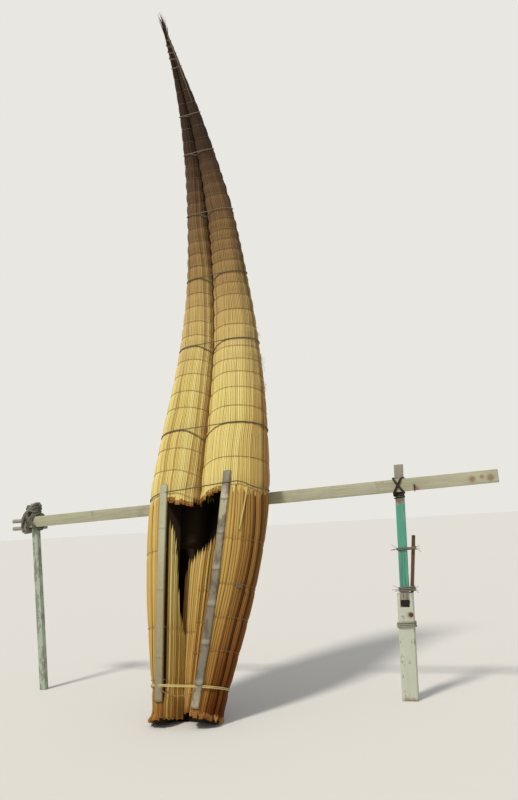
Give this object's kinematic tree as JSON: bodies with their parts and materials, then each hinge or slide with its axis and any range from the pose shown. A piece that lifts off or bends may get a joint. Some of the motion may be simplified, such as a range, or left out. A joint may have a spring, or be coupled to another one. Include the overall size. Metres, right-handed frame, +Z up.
{
  "type": "reed boat standing on a drying rack",
  "caption": "Slender reed boat of two tapering bundles with an open stern well, stood on its stern and leaning on a lashed timber rail.",
  "frame": {"origin": "on the floor, where the two bundles meet at the heel that the boat stands on", "axes": "+Z up, +X to the right along the rail as seen from the deck side, -Y the deck side and +Y the side of the rack"},
  "size_m": [3.4334, 0.9734, 4.3785],
  "materials": {
    "outer_reeds": "dry straw-coloured reed, satin",
    "deck_reeds": "dry straw-coloured reed, satin",
    "stern_reeds": "coarse dry reed, orange-brown",
    "dark_reeds": "weathered reed tips",
    "pale_cane": "smooth split cane",
    "grey_cane": "weathered split cane",
    "hull_rope": "twisted fibre rope",
    "pale_cord": "twisted straw cord",
    "rail_board": "weathered sawn board",
    "pale_paint": "worn pale paint on timber",
    "white_paint": "chipped white paint on timber",
    "green_paint": "chipped green paint on a plank",
    "bark": "rough brown stick",
    "rack_rope": "old grey rope"
  },
  "bodies": {
    "root": {"bow_binding": "hull_rope", "bow_tuft": "dark_reeds", "child_bundle_left": "deck_reeds", "child_bundle_right": "deck_reeds", "gunwale_lath_left": "pale_cane", "gunwale_lath_right": "grey_cane", "lashing_1": "hull_rope", "lashing_2": "hull_rope", "lashing_3": "hull_rope", "lashing_4": "hull_rope", "lashing_5": "hull_rope", "lashing_6": "hull_rope", "lashing_7": "hull_rope", "lashing_lip": "hull_rope", "lashing_stern": "pale_cord", "mother_bundle_left": "outer_reeds", "mother_bundle_right": "outer_reeds", "rack_lashing_left": "rack_rope", "rack_lashing_post": "rack_rope", "rack_lashing_right": "rack_rope", "rack_lashing_stick_lower": "rack_rope", "rack_lashing_stick_upper": "rack_rope", "rack_plank_right": "green_paint", "rack_post_left": "pale_paint", "rack_post_right": "white_paint", "rack_rail": "rail_board", "rack_spurs_left": "bark", "rack_stick_right": "bark", "stern_floor_left": "stern_reeds", "stern_floor_right": "stern_reeds", "stern_side_left": "stern_reeds", "stern_side_right": "stern_reeds"}
  },
  "joints": []
}
